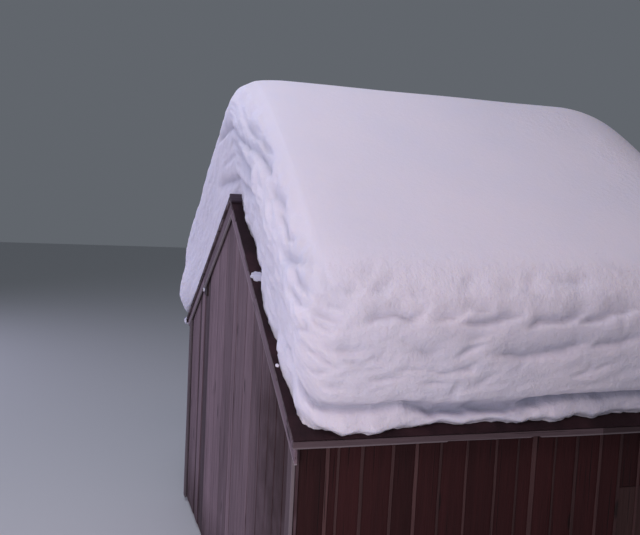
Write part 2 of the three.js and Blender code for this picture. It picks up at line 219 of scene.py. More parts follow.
# Other creases in the snow: each has its depth, its reach down and up, then points on the snow's face,
# as above. Those of the side come back farther along it.
END_CREASES = [
    (0.03, 0.022, 0.05, (0.42, -1.79, 0.76), (0.58, -1.77, 0.79), (0.72, -1.74, 0.83),
     (0.83, -1.74, 0.83), (0.92, -1.72, 0.86)),
    (0.036, 0.024, 0.06, (-0.4, -1.84, 0.69), (-0.22, -1.84, 0.62), (-0.05, -1.82, 0.56),
     (0.13, -1.82, 0.54), (0.54, -1.81, 0.69), (0.74, -1.78, 0.77), (0.91, -1.76, 0.8),
     (1.07, -1.75, 0.82)),
    (0.016, 0.016, 0.024, (-0.08, -1.8, 0.43), (0.38, -1.82, 0.51), (0.73, -1.83, 0.65)),
    (0.016, 0.016, 0.024, (-0.28, -1.8, 0.42), (0.09, -1.78, 0.29), (0.75, -1.83, 0.62)),
    (0.034, 0.085, 0.03, (-0.52, -1.8, 0.39), (-0.36, -1.78, 0.32), (-0.2, -1.76, 0.24),
     (-0.03, -1.74, 0.155), (0.16, -1.76, 0.2), (0.34, -1.77, 0.27), (0.48, -1.78, 0.34),
     (0.86, -1.82, 0.53), (0.99, -1.83, 0.56)),
    (0.03, 0.08, 0.1, (0.1, -1.8, 0.38), (0.5, -1.81, 0.52), (0.8, -1.82, 0.6)),
    (0.03, 0.024, 0.06, (1.18, -1.78, 0.78), (1.36, -1.76, 0.83), (1.46, -1.76, 0.84)),
    (0.022, 0.018, 0.03, (1.44, -1.78, 0.8), (1.6, -1.77, 0.83), (1.68, -1.78, 0.82),
     (1.75, -1.74, 0.87)),
    (0.03, 0.026, 0.06, (1.7, -1.82, 0.74), (1.86, -1.79, 0.83), (1.95, -1.73, 0.88)),
    (0.012, 0.022, 0.026, (1.98, -1.84, 0.64), (2, -1.83, 0.58)),
    (0.012, 0.014, 0.018, (2.03, -1.82, 0.56), (2.08, -1.81, 0.61), (2.12, -1.78, 0.63),
     (2.12, -1.77, 0.66)),
    (0.022, 0.018, 0.03, (1.59, -1.77, 0.14), (1.75, -1.77, 0.22)),
    (0.012, 0.016, 0.03, (1.95, -1.73, 0.88), (1.99, -1.68, 0.89)),
    (0.03, 0.022, 0.055, (1.92, -1.8, 0.82), (1.98, -1.8, 0.81), (2.04, -1.78, 0.81),
     (2.08, -1.74, 0.81)),
    (0.016, 0.014, 0.028, (2.1, -1.74, 0.81), (2.14, -1.67, 0.79), (2.16, -1.61, 0.77),
     (2.17, -1.54, 0.75)),
    (0.028, 0.022, 0.05, (1.96, -1.84, 0.73), (2.04, -1.82, 0.74), (2.1, -1.77, 0.75)),
    (0.02, 0.018, 0.042, (2.13, -1.75, 0.74), (2.16, -1.68, 0.73), (2.18, -1.6, 0.71)),
    (0.02, 0.014, 0.026, (2.15, -1.73, 0.7), (2.17, -1.68, 0.68), (2.18, -1.65, 0.66)),
    (0.02, 0.014, 0.03, (2.12, -1.76, 0.52), (2.15, -1.69, 0.5), (2.16, -1.6, 0.44)),
    (0.012, 0.014, 0.026, (2.09, -1.75, 0.39), (2.12, -1.7, 0.38), (2.15, -1.63, 0.42)),
    (0.015, 0.03, 0.06, (2.17, -1.64, 0.55), (2.18, -1.56, 0.54), (2.18, -1.49, 0.54)),
    (0.012, 0.018, 0.024, (2.17, -1.55, 0.48), (2.16, -1.44, 0.45)),
    (0.016, 0.026, 0.05, (2.12, -1.64, 0.31), (2.13, -1.55, 0.3)),
]
SIDE_CREASES = [
    (0.028, 0.014, 0.04, (2.19, -1.42, 0.7), (2.18, -1.38, 0.72), (2.18, -1.26, 0.73),
     (2.18, -1.18, 0.71), (2.18, -1.11, 0.74)),
    (0.03, 0.014, 0.036, (2.19, -1.03, 0.7), (2.18, -0.99, 0.71), (2.18, -0.91, 0.72),
     (2.18, -0.86, 0.73)),
    (0.02, 0.014, 0.03, (2.18, -0.88, 0.73), (2.17, -0.82, 0.77), (2.16, -0.78, 0.78)),
    (0.018, 0.012, 0.024, (2.17, -0.81, 0.75), (2.17, -0.74, 0.75), (2.17, -0.68, 0.76)),
    (0.035, 0.014, 0.04, (2.19, -0.86, 0.69), (2.19, -0.79, 0.69), (2.19, -0.66, 0.7),
     (2.18, -0.6, 0.72), (2.18, -0.5, 0.73)),
    (0.04, 0.014, 0.046, (2.19, -0.44, 0.67), (2.19, -0.37, 0.7), (2.19, -0.22, 0.7),
     (2.18, -0.15, 0.72), (2.17, -0.07, 0.75)),
    (0.035, 0.014, 0.042, (2.19, -0.1, 0.7), (2.18, 0.03, 0.71), (2.18, 0.11, 0.74),
     (2.17, 0.2, 0.75), (2.17, 0.29, 0.77)),
    (0.036, 0.024, 0.085, (2.17, -0.62, 0.5), (2.17, -0.46, 0.48), (2.17, -0.33, 0.5),
     (2.18, -0.2, 0.52), (2.18, -0.12, 0.55), (2.18, -0.06, 0.57)),
    (0.03, 0.02, 0.06, (2.18, -0.01, 0.55), (2.18, 0.13, 0.57), (2.18, 0.19, 0.57), (2.19, 0.29, 0.6)),
    (0.03, 0.016, 0.034, (2.17, -0.87, 0.5), (2.18, -0.82, 0.53), (2.18, -0.75, 0.56)),
    (0.015, 0.03, 0.045, (2.19, -0.82, 0.59), (2.19, -0.75, 0.62)),
    (0.022, 0.018, 0.04, (2.15, -0.87, 0.4), (2.15, -0.8, 0.4), (2.16, -0.77, 0.45)),
    (0.018, 0.03, 0.06, (2.18, -1.15, 0.54), (2.17, -1.06, 0.5), (2.18, -0.98, 0.53)),
    (0.01, 0.02, 0.03, (2.19, -1.23, 0.59), (2.18, -1.17, 0.55)),
    (0.015, 0.026, 0.045, (2.17, -1.39, 0.49), (2.17, -1.31, 0.47)),
    (0.022, 0.012, 0.026, (2.14, -1.36, 0.35), (2.14, -1.3, 0.35), (2.14, -1.24, 0.36)),
    (0.008, 0.014, 0.024, (2.16, -1.45, 0.42), (2.16, -1.34, 0.41)),
    (0.008, 0.014, 0.024, (2.16, -1.24, 0.41), (2.15, -1.07, 0.4), (2.15, -0.91, 0.38)),
    (0.014, 0.022, 0.022, (2.14, -0.86, 0.32), (2.12, -0.87, 0.25), (2.09, -0.87, 0.18)),
    (0.01, 0.016, 0.026, (2.12, -1.55, 0.83), (2.13, -1.5, 0.82), (2.12, -1.46, 0.83)),
    (0.015, 0.018, 0.034, (2.13, -1.42, 0.82), (2.12, -1.35, 0.83), (2.08, -1.27, 0.86)),
    (0.008, 0.018, 0.026, (2.09, -1.45, 0.85), (2.04, -1.37, 0.88)),
    (0.011, 0.018, 0.03, (2.17, -1.36, 0.76), (2.17, -1.29, 0.77), (2.16, -1.22, 0.78)),
    (0.009, 0.018, 0.022, (2.13, -0.87, 0.82), (2.09, -0.8, 0.85), (2.05, -0.74, 0.88)),
    (0.011, 0.016, 0.026, (2.12, -0.6, 0.83), (2.1, -0.51, 0.84)),
    (0.013, 0.016, 0.028, (2.1, -0.43, 0.84), (2.07, -0.34, 0.87)),
    (0.015, 0.012, 0.024, (2.09, -0.24, 0.85), (2.08, -0.11, 0.85), (2.06, 0, 0.87)),
    (0.009, 0.016, 0.022, (2.14, -1.17, 0.81), (2.13, -1.09, 0.81)),
    (0.016, 0.016, 0.034, (2.14, -0.11, 0.35), (2.14, -0.01, 0.37), (2.16, 0, 0.42)),
    (0.013, 0.016, 0.03, (2.15, 0.03, 0.38), (2.16, 0.13, 0.43)),
    (0.011, 0.016, 0.03, (2.13, -0.73, 0.29), (2.14, -0.67, 0.34), (2.15, -0.62, 0.38)),
    (0.011, 0.016, 0.03, (2.15, -0.49, 0.4), (2.16, -0.45, 0.45)),
    (0.012, 0.02, 0.02, (2.18, 0.17, 0.71), (2.19, 0.19, 0.62)),
    (0.011, 0.016, 0.03, (2.14, -1.07, 0.32), (2.13, -0.93, 0.32)),
]
SIDE_REPEAT = 1.95

# What these creases get on top of their depth, how deep a crease's tip is and how far from it the full
# depth is reached, how round its bottom is, how fast it eases off, how far it waves up and down in
# waves of which size, and over which height above the foot it fades in
CREASE_DEEPER = 0.008
CREASE_TIP = 0.5
CREASE_TAPER = 0.06
CREASE_BOTTOM = 0.173
CREASE_FALL = 1.6
CREASE_WAVE = 0.006
CREASE_WAVE_SIZE = (0.09, 0.09, 0.2)
CREASE_FOOT = 0.05

# Layers of settled snow that jut out over one another in places, and the sizes of these places and of
# the waves that the layers lie in
LEDGE_PITCH = 0.15
LEDGE_SLANT = 0.16
LEDGE_DEPTH = 0.01
LEDGE_BROW = 0.24
LEDGE_ON_END = 0.3
LEDGE_PLACES = (0.34, 0.34, 0.13)
LEDGE_WAVE = 1.4
LEDGE_WAVE_SIZE = (0.45, 0.45, 0.25)

# Lumps in the snow's sides: how far they stand out and how large they are
LARGE_LUMP = 0.018
LARGE_LUMP_SIZE = (0.34, 0.34, 0.125)
END_LUMP_SIZE = 0.2
SMALL_LUMP = 0.01
SMALL_LUMP_SIZE = (0.15, 0.14, 0.07)
FINE_LUMP = 0.0045
FINE_LUMP_SIZE = 0.055
BROAD_LUMP = 0.008
BROAD_LUMP_SIZE = 0.55
LUMP_MEAN = 0.55
LUMP_WARP = 0.05
LUMP_WARP_SIZE = 0.33

# The lumps' share along the eaves and on an end's calm part, where across the end they grow to the
# full, between which heights they end, and over which height above the foot they fade in
CALM = 0.3
CALM_ACROSS = (-0.15, 0.2)
LUMPS_END = (0.93, 0.83)
LUMPS_FOOT = 0.035

# How far in from the sides (across the hut) and from the ends (along it) the sides' forms begin to
# fade into the smooth top, and over how much, how hollow that top is, and where it is pitted again
SMOOTH_FROM = (0.04, 0.06)
SMOOTH_FADE = (0.08, 0.06)
TOP_HOLLOW = 0.003
PITTED = 0.8
PITTED_ALONG = (0.3, 0.9)
PITTED_SIZE = (0.6, 0.5, 0.4)

# The ragged edge of the snow's foot: reach, size and seed of its waves, and how far up it goes
RAGGED = ((0.012, 0.04, 31), (0.007, 0.14, 33))
RAGGED_HEIGHT = 0.03

# Painted shade, darker and bluer: in full at this depth of a crease, and this much on the lower part of a
# ledge
PAINTED_SHADE_DEPTH = 0.08
LEDGE_PAINTED_SHADE = 0.4
LEDGE_PAINTED_SHADE_PART = 0.4


def under_roof(x, distance):
    """Height of the point a distance under the roof's surface, square to the slope."""
    return APEX - ROOF_RISE * abs(x) - distance * UPRIGHT


# Shader nodes. The numbers of a Mix node's sockets are those of its colour mode.
MIX_SHARE, MIX_FIRST, MIX_SECOND, MIX_RESULT = 0, 6, 7, 2


def feed(tree, made, inputs):
    """Links a node's inputs to other nodes' outputs, or sets them."""
    for key, value in inputs.items():
        socket = made.inputs[key]
        if isinstance(value, bpy.types.NodeSocket):
            tree.links.new(value, socket)
        else:
            socket.default_value = (*value, 1) if socket.type == "RGBA" else value


def node(tree, kind, inputs=None, **settings):
    made = tree.nodes.new(kind)
    for key, value in settings.items():
        setattr(made, key, value)
    feed(tree, made, inputs or {})
    return made


def attribute(tree, name, output="Fac"):
    return node(tree, "ShaderNodeAttribute", attribute_name=name).outputs[output]


def parts_of(tree, vector):
    return node(tree, "ShaderNodeSeparateXYZ", {"Vector": vector}).outputs


def noise_of(tree, vector, scale, detail=3.0, roughness=0.55):
    inputs = {"Vector": vector, "Scale": scale, "Detail": detail, "Roughness": roughness}
    return node(tree, "ShaderNodeTexNoise", inputs).outputs["Fac"]


def between(tree, value, low, high, to_low=0.0, to_high=1.0):
    inputs = {"Value": value, "From Min": low, "From Max": high, "To Min": to_low, "To Max": to_high}
    return node(tree, "ShaderNodeMapRange", inputs).outputs["Result"]


def maths(tree, operation, first, second=0.0):
    return node(tree, "ShaderNodeMath", {0: first, 1: second}, operation=operation).outputs["Value"]


def times(tree, first, second):
    return maths(tree, "MULTIPLY", first, second)


def mixed(tree, share, first, second):
    inputs = {MIX_SHARE: share, MIX_FIRST: first, MIX_SECOND: second}
    return node(tree, "ShaderNodeMix", inputs, data_type="RGBA").outputs[MIX_RESULT]


def bumped(tree, height, strength, distance, normal=None):
    inputs = {"Height": height, "Strength": strength, "Distance": distance}
    if normal is not None:
        inputs["Normal"] = normal
    return node(tree, "ShaderNodeBump", inputs).outputs["Normal"]


def new_material(name):
    material = bpy.data.materials.new(name)
    material.use_nodes = True
    tree = material.node_tree
    return material, tree, tree.nodes["Principled BSDF"]


# Patterns in wood: how often each comes per metre, along the grain and twice across it, and how much
# the streaks, the bands and a board's own tone lighten it
STREAKS = (1.6, 42, 42)
FINE_GRAIN = (7, 260, 260)
BANDS = (0.7, 11, 11)
CRACKS = (1.3, 95, 95)
KNOTS = (1.7, 6.5, 6.5)
STREAK_WEIGHT, BAND_WEIGHT, TONE_WEIGHT = 0.75, 0.55, 0.7

# Damp at a wall's foot and in its lower right part, as Z, X and Z from where it starts to where it is
# full
DAMP_FOOT = (0.55, 0.05)
DAMP_RIGHT = (0.7, 1.4)
DAMP_BELOW = (2.5, 2.05)

# The lighter band along one long edge of a board
EDGE_REACH = (0.016, 0.008)
EDGE_RAGGED = 0.008
EDGE_COLOUR = (0.36, 0.31, 0.33)


def wood(name, light, dark, crack, damp=None, edge_light=0.0, grain_axis=None, ends=None, roughness=0.82):
    """Bare sawn wood. Its grain follows each board's own length, or a fixed axis of the hut.

    A wall can be damp at its foot and in its lower right part. A beam's ends outside the walls are greyer
    and darker: weathered, and with painted shade of the roof's overhang.
    """
    material, tree, surface = new_material(name)
    place = node(tree, "ShaderNodeTexCoord").outputs["Object"]
    parts = parts_of(tree, place)
    if grain_axis is None:
        grain, tone = attribute(tree, "grain", "Vector"), attribute(tree, "tone")
    else:
        order = {"X": "XYZ", "Y": "YXZ", "Z": "ZXY"}[grain_axis]
        sockets = {axis: parts[letter] for axis, letter in zip("XYZ", order)}
        grain = node(tree, "ShaderNodeCombineXYZ", sockets).outputs["Vector"]
        tone = noise_of(tree, place, 0.9, 1.0)

    def stretched(often):
        return node(tree, "ShaderNodeMapping", {"Vector": grain, "Scale": often}).outputs["Vector"]

    streaks = noise_of(tree, stretched(STREAKS), 1.0, 5.0, 0.62)
    fine = noise_of(tree, stretched(FINE_GRAIN), 1.0)
    bands = noise_of(tree, stretched(BANDS), 1.0)
    cracked = between(tree, noise_of(tree, stretched(CRACKS), 1.0, 2.0, 0.5), 0.655, 0.7)
    knots = node(tree, "ShaderNodeTexVoronoi", {"Vector": stretched(KNOTS), "Scale": 1.0})
    knotted = between(tree, knots.outputs["Distance"], 0.13, 0.07)

    shade = maths(tree, "ADD", times(tree, streaks, STREAK_WEIGHT), times(tree, bands, BAND_WEIGHT))
    shade = maths(tree, "ADD", shade, times(tree, maths(tree, "SUBTRACT", tone, 0.5), TONE_WEIGHT))
    colour = mixed(tree, between(tree, shade, 0.36, 0.98), dark, light)
    colour = mixed(tree, between(tree, fine, 0.35, 0.75, 0.0, 0.35), colour, dark)
    colour = mixed(tree, times(tree, knotted, 0.75), colour, crack)
    colour = mixed(tree, times(tree, cracked, 0.85), colour, crack)
    if damp is not None:
        foot = between(tree, parts["Z"], *DAMP_FOOT)
        right = times(tree, between(tree, parts["X"], *DAMP_RIGHT), between(tree, parts["Z"], *DAMP_BELOW))
        patchy = between(tree, noise_of(tree, place, 2.6, 4.0), 0.1, 0.55)
        wet = times(tree, maths(tree, "MAXIMUM", foot, right), patchy)
        colour = mixed(tree, times(tree, wet, 0.9), colour, damp)
    # Painted shade, with weathering: the beam's ends outside the walls, under the roof's overhang, darker
    # and greyer
    if ends is not None:
        outside = between(tree, maths(tree, "ABSOLUTE", parts["Y"]), GABLE_LOW.y, GABLE_HIGH.y)
        colour = mixed(tree, outside, colour, ends)
    if edge_light > 0:
        across = maths(tree, "ADD", parts_of(tree, grain)["Y"], times(tree, streaks, EDGE_RAGGED))
        edge = between(tree, across, *EDGE_REACH)
        colour = mixed(tree, times(tree, edge, edge_light), colour, EDGE_COLOUR)
    normal = bumped(tree, streaks, 0.55, 0.004)
    normal = bumped(tree, fine, 0.4, 0.0012, normal)
    feed(tree, surface, {
        "Base Color": colour,
        "Roughness": between(tree, fine, 0.3, 0.7, roughness - 0.08, roughness + 0.1),
        "Specular IOR Level": 0.25,
        "Normal": bumped(tree, maths(tree, "SUBTRACT", 1.0, cracked), 0.8, 0.004, normal),
    })
    return material


def felt():
    """Old tarred felt: nearly black, gritty, with a faint brown bloom."""
    material, tree, surface = new_material("tarred_felt")
    place = node(tree, "ShaderNodeTexCoord").outputs["Object"]
    grit = noise_of(tree, place, 420, 2.0)
    bloom = between(tree, noise_of(tree, place, 5.0, 5.0), 0.42, 0.68)
    colour = mixed(tree, bloom, (0.017, 0.0065, 0.009), (0.037, 0.0145, 0.0185))
    colour = mixed(tree, between(tree, grit, 0.55, 0.75, 0.0, 0.35), colour, (0.055, 0.034, 0.04))
    normal = bumped(tree, noise_of(tree, place, 22), 0.5, 0.006)
    feed(tree, surface, {
        "Base Color": colour,
        "Roughness": between(tree, grit, 0.3, 0.7, 0.78, 0.95),
        "Specular IOR Level": 0.2,
        "Normal": bumped(tree, grit, 0.5, 0.0015, normal),
    })
    return material


def snow_material():
    """Settled snow: matt, slightly grainy, faintly rosy, and with painted shade down in its creases."""
    material, tree, surface = new_material("settled_snow")
    place = node(tree, "ShaderNodeTexCoord").outputs["Object"]
    drift = between(tree, noise_of(tree, place, 1.3), 0.35, 0.65)
    colour = mixed(tree, drift, (0.8, 0.755, 0.86), (0.84, 0.775, 0.865))
    # Painted shade: darker and bluer in the creases, under the ledges and on the groove's lip
    colour = mixed(tree, attribute(tree, "painted_shade"), colour, (0.37, 0.375, 0.47))
    grains = noise_of(tree, place, 160, 3.0, 0.6)
    colour = mixed(tree, between(tree, grains, 0.35, 0.7, 0.0, 0.1), colour, (0.62, 0.6, 0.72))
    rough = maths(tree, "SUBTRACT", 1.0, times(tree, attribute(tree, "smooth"), 0.75))
    clumps = times(tree, noise_of(tree, place, 24, 4.0, 0.6), rough)
    pits = times(tree, noise_of(tree, place, 75, 3.0, 0.6), rough)
    normal = bumped(tree, pits, 0.5, 0.006, bumped(tree, clumps, 0.55, 0.016))
    feed(tree, surface, {
        "Base Color": colour,
        "Roughness": 0.75,
        "Specular IOR Level": 0.25,
        "Subsurface Weight": 0.25,
        "Subsurface Radius": (0.045, 0.055, 0.075),
        "Subsurface Scale": 0.5,
        "Normal": bumped(tree, grains, 0.35, 0.002, normal),
    })
    return material


# Each wood has its light and dark streaks and its cracks
WEATHERED = wood(
    "weathered_boards", (0.275, 0.182, 0.21), (0.064, 0.038, 0.046), (0.014, 0.007, 0.008),
    damp=(0.034, 0.012, 0.013),
)
BARGE_WOOD = wood(
    "barge_boards", (0.3, 0.205, 0.245), (0.08, 0.052, 0.062), (0.016, 0.01, 0.012), edge_light=0.8,
)
SILVERED = wood(
    "silvered_trim", (0.13, 0.088, 0.1), (0.042, 0.026, 0.029), (0.014, 0.009, 0.01), edge_light=0.35,
)
DARK_BOARDS = wood(
    "dark_side_boards", (0.048, 0.01, 0.011), (0.023, 0.0045, 0.005), (0.006, 0.003, 0.003),
    roughness=0.75,
)
STRIP_WOOD = wood("side_strips", (0.105, 0.05, 0.05), (0.042, 0.02, 0.02), (0.01, 0.006, 0.006))
PATCH_WOOD = wood("patch_boards", (0.07, 0.034, 0.032), (0.038, 0.018, 0.017), (0.01, 0.006, 0.006))
RIDGE_WOOD = wood("ridge_wood", (0.085, 0.058, 0.078), (0.028, 0.018, 0.025), (0.012, 0.008, 0.008))
DECK_WOOD = wood("deck_wood", (0.2, 0.145, 0.16), (0.07, 0.046, 0.052), (0.01, 0.006, 0.006))
BEAM_COLOURS = ((0.23, 0.16, 0.11), (0.09, 0.055, 0.036), (0.02, 0.012, 0.008))
# Its ends outside the walls get a darker grey: weathering and painted shade
BEAM_ALONG = wood("beam_along", *BEAM_COLOURS, grain_axis="Y", ends=(0.05, 0.034, 0.038))
BEAM_ACROSS = wood("beam_across", *BEAM_COLOURS, grain_axis="X")
POST_WOOD = wood("post_wood", *BEAM_COLOURS, grain_axis="Z")
FELT = felt()
SNOW = snow_material()


# Meshes. An edge shows as a sharp one from this angle on.
SHARP = math.radians(35)


def new_object(name, data):
    made = bpy.data.objects.new(name, data)
    bpy.context.scene.collection.objects.link(made)
    return made


def put(name, points, faces, material, replaces=(), attributes=None, sharp=SHARP):
    """Makes a mesh object that belongs to the hut."""
    mesh = bpy.data.meshes.new(name)
    mesh.from_pydata(points, [], faces)
    for key, values in (attributes or {}).items():
        kind, field = ("FLOAT", "value") if np.ndim(values) == 1 else ("FLOAT_VECTOR", "vector")
        mesh.attributes.new(key, kind, "POINT").data.foreach_set(field, np.ravel(values))
    mesh.shade_smooth()
    mesh.set_sharp_from_angle(angle=sharp)
    mesh.materials.append(material)
    piece = new_object(name, mesh)
    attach(piece, "root")
    if replaces:
        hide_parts(*replaces)
    return piece


class Boards:
    """Boards gathered into one mesh. Each keeps its own grain and tone."""

    TONES = (0.15, 0.85)
    SEEDS = 90
    BOWS_OFTEN = 1.6
    SHAKES_OFTEN = (4.5, 9)

    def __init__(self):
        self.points = []
        self.faces = []
        self.grain = []
        self.tone = []

    def add(self, outline, thickness, place, along=(0, 1), tone=None, chamfer=0.0022, step=0.13,
            wobble=0.0012, warp=0.0018):
        """A board with an outline (a, b), drawn out over a thickness (c), then put in place."""
        work = bmesh.new()
        rims = [[work.verts.new((a, b, c)) for a, b in outline] for c in thickness]
        for rim in rims:
            work.faces.new(rim)
        for i, corner in enumerate(rims[0]):
            j = (i + 1) % len(outline)
            work.faces.new((corner, rims[0][j], rims[1][j], rims[1][i]))
        bmesh.ops.recalc_face_normals(work, faces=work.faces[:])
        bmesh.ops.bevel(work, geom=work.edges[:], offset=chamfer, segments=1, affect="EDGES")
        lengthways = Vector((*along, 0)).normalized()
        sideways = Vector((-lengthways.y, lengthways.x, 0))
        reach = [v.co.dot(lengthways) for v in work.verts]
        cuts = max(2, round((max(reach) - min(reach)) / step))
        for k in range(1, cuts):
            cut = min(reach) + (max(reach) - min(reach)) * k / cuts
            geometry = work.verts[:] + work.edges[:] + work.faces[:]
            bmesh.ops.bisect_plane(work, geom=geometry, plane_co=lengthways * cut, plane_no=lengthways)
        lowest = min(v.co.dot(sideways) for v in work.verts)
        seed = draw.uniform(0, self.SEEDS)
        start = len(self.points)
        own_tone = draw.uniform(*self.TONES) if tone is None else tone
        for v in work.verts:
            length, across = v.co.dot(lengthways), v.co.dot(sideways)
            self.grain.append((length + seed, across - lowest, v.co.z))
            self.tone.append(own_tone)
            bow = noise.noise(Vector((length * self.BOWS_OFTEN, seed, 0)))
            lengthwise, crosswise = self.SHAKES_OFTEN
            shake = noise.noise(Vector((length * lengthwise, seed, across * crosswise)))
            moved = v.co + sideways * shake * wobble + Vector((0, 0, bow * warp))
            self.points.append(place(*moved))
        bmesh.ops.triangulate(work, faces=[f for f in work.faces if len(f.verts) > 4])
        work.verts.index_update()
        self.faces += [[start + v.index for v in f.verts] for f in work.faces]
        work.free()

    def finish(self, name, material, slot, replaces=()):
        attributes = {"grain": self.grain, "tone": self.tone}
        outward(put(name, self.points, self.faces, material, replaces, attributes))


def outward(piece):
    """Turns every closed part of the piece's mesh so that its faces point out."""
    work = bmesh.new()
    work.from_mesh(piece.data)
    bmesh.ops.recalc_face_normals(work, faces=work.faces[:])
    work.to_mesh(piece.data)
    work.free()


def rectangle(a_low, a_high, b_low, b_high):
    return [(a_low, b_low), (a_high, b_low), (a_high, b_high), (a_low, b_high)]


def on_gable(end, face):
    """Gives the way to put a board onto the front (-1) or back (1) with its outer face at this Y."""
    return lambda a, b, c: (a, end * (face - c), b)


def on_flank(side, face, turn=1):
    """Gives the way to put a board onto a side with its outer face at this X, end for end at turn -1."""
    return lambda a, b, c: (side * (face - c), turn * a, b)


# Gable walls


BEAM_NOTCHES = [
    (RIDGE_BEAM_LOW.x, RIDGE_BEAM_HIGH.x, RIDGE_BEAM_LOW.z),
    (PURLIN_LOW.x, PURLIN_HIGH.x, PURLIN_LOW.z),
    (-PURLIN_HIGH.x, -PURLIN_LOW.x, PURLIN_LOW.z),
]
NARROWEST = 0.015


def gable_top(left, right):
    """The upper edge of a gable board, from left to right: under the deck and round the beams' ends."""
    breaks = {left, right}
    for low, high, _ in BEAM_NOTCHES:
        breaks |= {x for x in (low - GAP, high + GAP) if left + NARROWEST < x < right - NARROWEST}
    if left + NARROWEST < 0 < right - NARROWEST:
        breaks.add(0.0)
    breaks = sorted(breaks)
    edge = []
    for start, end in zip(breaks, breaks[1:]):
        middle = (start + end) / 2
        beam = next((foot for low, high, foot in BEAM_NOTCHES if low < middle < high), None)
        for x in (start, end):
            z = under_roof(x, FRAME_TOP + GAP) if beam is None else beam - GAP
            if not edge or edge[-1] != (x, z):
                edge.append((x, z))
    return edge


def gable_wall(end, name, edges, usual_gap, gaps, tones, sinks):
    boards = Boards()
    for i, (left, right) in enumerate(zip(edges, edges[1:])):
        left += gaps.get(i, usual_gap) / 2
        right -= gaps.get(i + 1, usual_gap) / 2
        foot = GABLE_LOW.z + draw.uniform(0, FOOT_UNEVEN)
        sink = sinks.get(i, draw.uniform(0, USUAL_SINK))
        outline = [(right, foot), (left, foot)] + gable_top(left, right)
        thickness = (GABLE_FACE + sink, GABLE_HIGH.y - GABLE_LOW.y - BACK_GAP)
        boards.add(outline, thickness, on_gable(end, GABLE_HIGH.y), tone=tones.get(i))
    boards.finish(name, WEATHERED, "gable_wood", [name.replace("_boards", "")])


def back_edges():
    """Board edges for the back gable, of like widths in another order."""
    widths = [b - a for a, b in zip(GABLE_EDGES, GABLE_EDGES[1:])]
    draw.shuffle(widths)
    return [GABLE_LOW.x + sum(widths[:i]) for i in range(len(widths) + 1)]


gable_wall(-1, "gable_wall_front_boards", GABLE_EDGES, GABLE_GAP, WIDE_GABLE_GAPS, GABLE_TONES, GABLE_SINK)
gable_wall(1, "gable_wall_back_boards", back_edges(), BACK_GABLE_GAP, WIDE_BACK_GAPS, {}, {})


# Side walls


def side_wall(side, hand, strips, patched):
    boards, laths, patch = Boards(), Boards(), Boards()
    top = under_roof(SIDE_HIGH.x, FRAME_TOP + GAP)
    edges = [SIDE_LOW.y + BUTT_GAP, *strips, SIDE_HIGH.y - BUTT_GAP]
    place = on_flank(side, SIDE_HIGH.x)
    back = (STRIP_THICKNESS, SIDE_HIGH.x - SIDE_LOW.x - BACK_GAP)
    for i, (start, end) in enumerate(zip(edges, edges[1:])):
        foot = SIDE_LOW.z + draw.uniform(0, FOOT_UNEVEN)
        start, end = start + SIDE_BOARD_GAP / 2, end - SIDE_BOARD_GAP / 2
        if i in patched:
            patch.add(rectangle(start, end, foot, PATCH_TOP - PATCH_GAP / 2), back, place, tone=0.5)
            foot = PATCH_TOP + PATCH_GAP / 2
        boards.add(rectangle(start, end, foot, top), back, place)
    for i, middle in enumerate(strips):
        half = (WIDE_STRIP if i == WIDE_STRIP_PLACE else STRIP_WIDTH) / 2
        half += draw.uniform(*STRIP_HALF_SPREAD)
        foot = SIDE_LOW.z + draw.uniform(0, STRIP_FOOT_UNEVEN)
        outline = rectangle(middle - half, middle + half, foot, top)
        thickness = (0, STRIP_THICKNESS - BACK_GAP)
        laths.add(outline, thickness, place, wobble=0.003, warp=0.001, chamfer=0.0015)
    boards.finish(f"side_wall_{hand}_boards", DARK_BOARDS, "side_wood", [f"side_wall_{hand}"])
    laths.finish(f"side_wall_{hand}_strips", STRIP_WOOD, "side_wood")
    if patched:
        patch.finish(f"side_wall_{hand}_patch", PATCH_WOOD, "side_wood")


def more_strips(start):
    """Middles of strips that go on to the back corner at the usual pitch."""
    made = []
    while start + STRIP_PITCH < SIDE_HIGH.y - STRIP_PITCH / 2:
        start += STRIP_PITCH + draw.uniform(-STRIP_PITCH_SPREAD, STRIP_PITCH_SPREAD)
        made.append(start)
    return made


RIGHT_STRIPS = SIDE_STRIPS + more_strips(SIDE_STRIPS[-1])
PATCHED = range(len(SIDE_STRIPS), len(SIDE_STRIPS) + PATCH_BOARDS)
side_wall(1, "right", RIGHT_STRIPS, PATCHED)
side_wall(-1, "left", more_strips(SIDE_LOW.y), [])


# Trim


def barge_depth(side, end, piece):
    return OLD_BARGE_DEPTH[piece] if side == end else BARGE_DEPTH


def barge_board(side, hand, end, place_name, piece):
    name = f"barge_board_{place_name}_{hand}_{piece}"
    low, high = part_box(name)
    inner, outer = sorted((abs(low.x), abs(high.x)))
    depth = barge_depth(side, end, piece)
    outline = [
        (side * inner, under_roof(inner, depth)),
        (side * outer, under_roof(outer, depth)),
        (side * outer, under_roof(outer, FRAME_TOP)),
        (side * inner, under_roof(inner, FRAME_TOP)),
    ]
    along = (math.cos(SLOPE), -side * math.sin(SLOPE))
    thickness = (0, BARGE_HIGH.y - BARGE_LOW.y)
    place = on_gable(end, BARGE_HIGH.y)
    boards = Boards()
    boards.add(outline, thickness, place, along, wobble=0.0025, warp=0.0012, chamfer=0.003)
    boards.finish(f"{name}_weathered", BARGE_WOOD, "trim_wood", [name])


def corner_board(side, hand, end, place_name):
    name = f"corner_board_{place_name}_{hand}"
    low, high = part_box(name)
    inner, outer = sorted((abs(low.x), abs(high.x)))
    top = barge_depth(side, end, "lower") + GAP
    outline = [
        (side * inner, low.z),
        (side * outer, low.z),
        (side * outer, under_roof(outer, top)),
        (side * inner, under_roof(inner, top)),
    ]
    thickness = (0, CORNER_HIGH.y - CORNER_LOW.y)
    place = on_gable(end, CORNER_HIGH.y)
    boards = Boards()
    boards.add(outline, thickness, place, wobble=0.0015, chamfer=0.003, tone=0.8)
    boards.finish(f"{name}_weathered", SILVERED, "trim_wood", [name])


